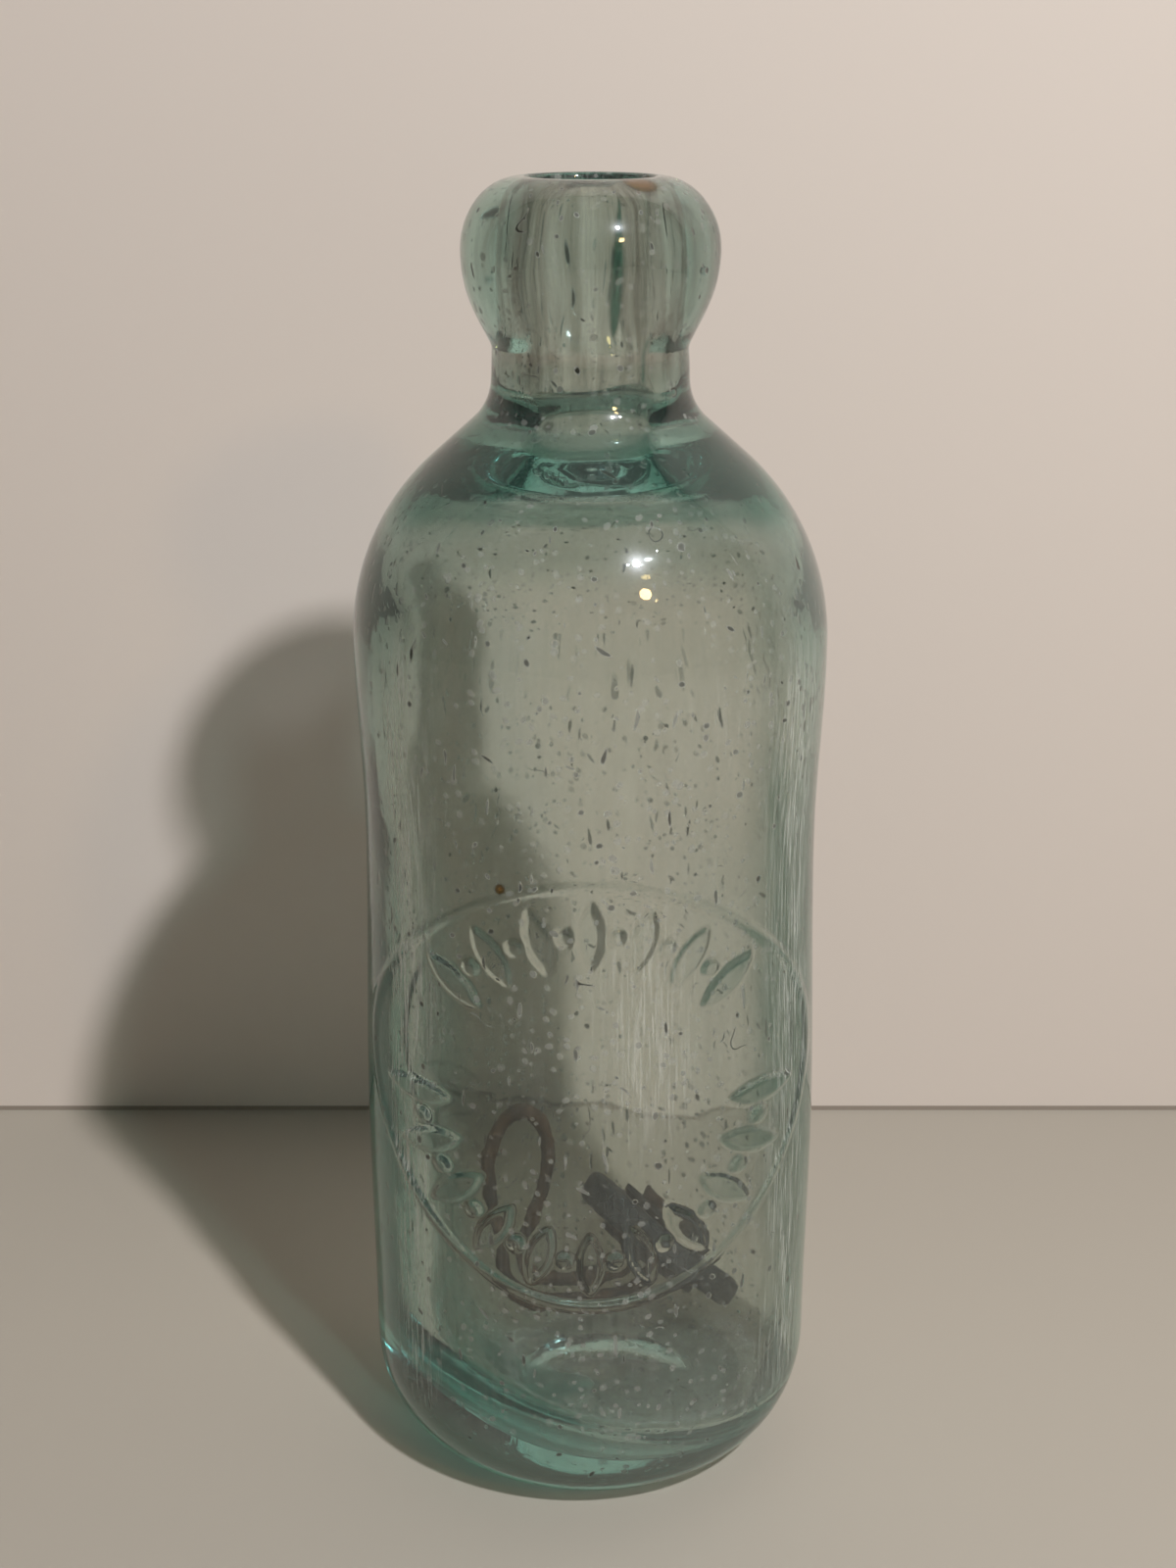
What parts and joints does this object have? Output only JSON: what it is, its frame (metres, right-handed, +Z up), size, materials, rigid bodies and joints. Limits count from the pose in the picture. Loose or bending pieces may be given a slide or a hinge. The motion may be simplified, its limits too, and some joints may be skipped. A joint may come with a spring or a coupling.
{
  "type": "spring-stopper soda bottle",
  "caption": "Blown aqua glass soda bottle with a rounded blob lip, a raised ring of ornament on the front, and its loose wire-loop stopper lying inside.",
  "frame": {"origin": "centre of the base, on the surface the bottle stands on", "axes": "+Z up through the mouth, -Y towards the front with the raised ring, +X to the right seen from the front"},
  "size_m": [0.0635, 0.0639, 0.1786],
  "materials": {
    "aqua_glass": "clear pale blue-green glass, smooth, with small pits, bubbles and a scuffed haze",
    "rusty_wire": "matt brown rust over steel wire",
    "rusty_plate": "matt dark rust over pressed sheet",
    "aged_rubber": "matt, hardened, blue-black"
  },
  "bodies": {
    "bottle": {"glass_body": "aqua_glass"},
    "stopper": {"wire_loop": "rusty_wire", "upper_plate": "rusty_plate", "rubber_gasket": "aged_rubber", "lower_plate": "rusty_plate"}
  },
  "joints": [
    {"name": "stopper_rise", "type": "slide", "parent": "bottle", "child": "stopper", "axis": [0, 0, 1], "range_m": [0, 0.085]}
  ]
}
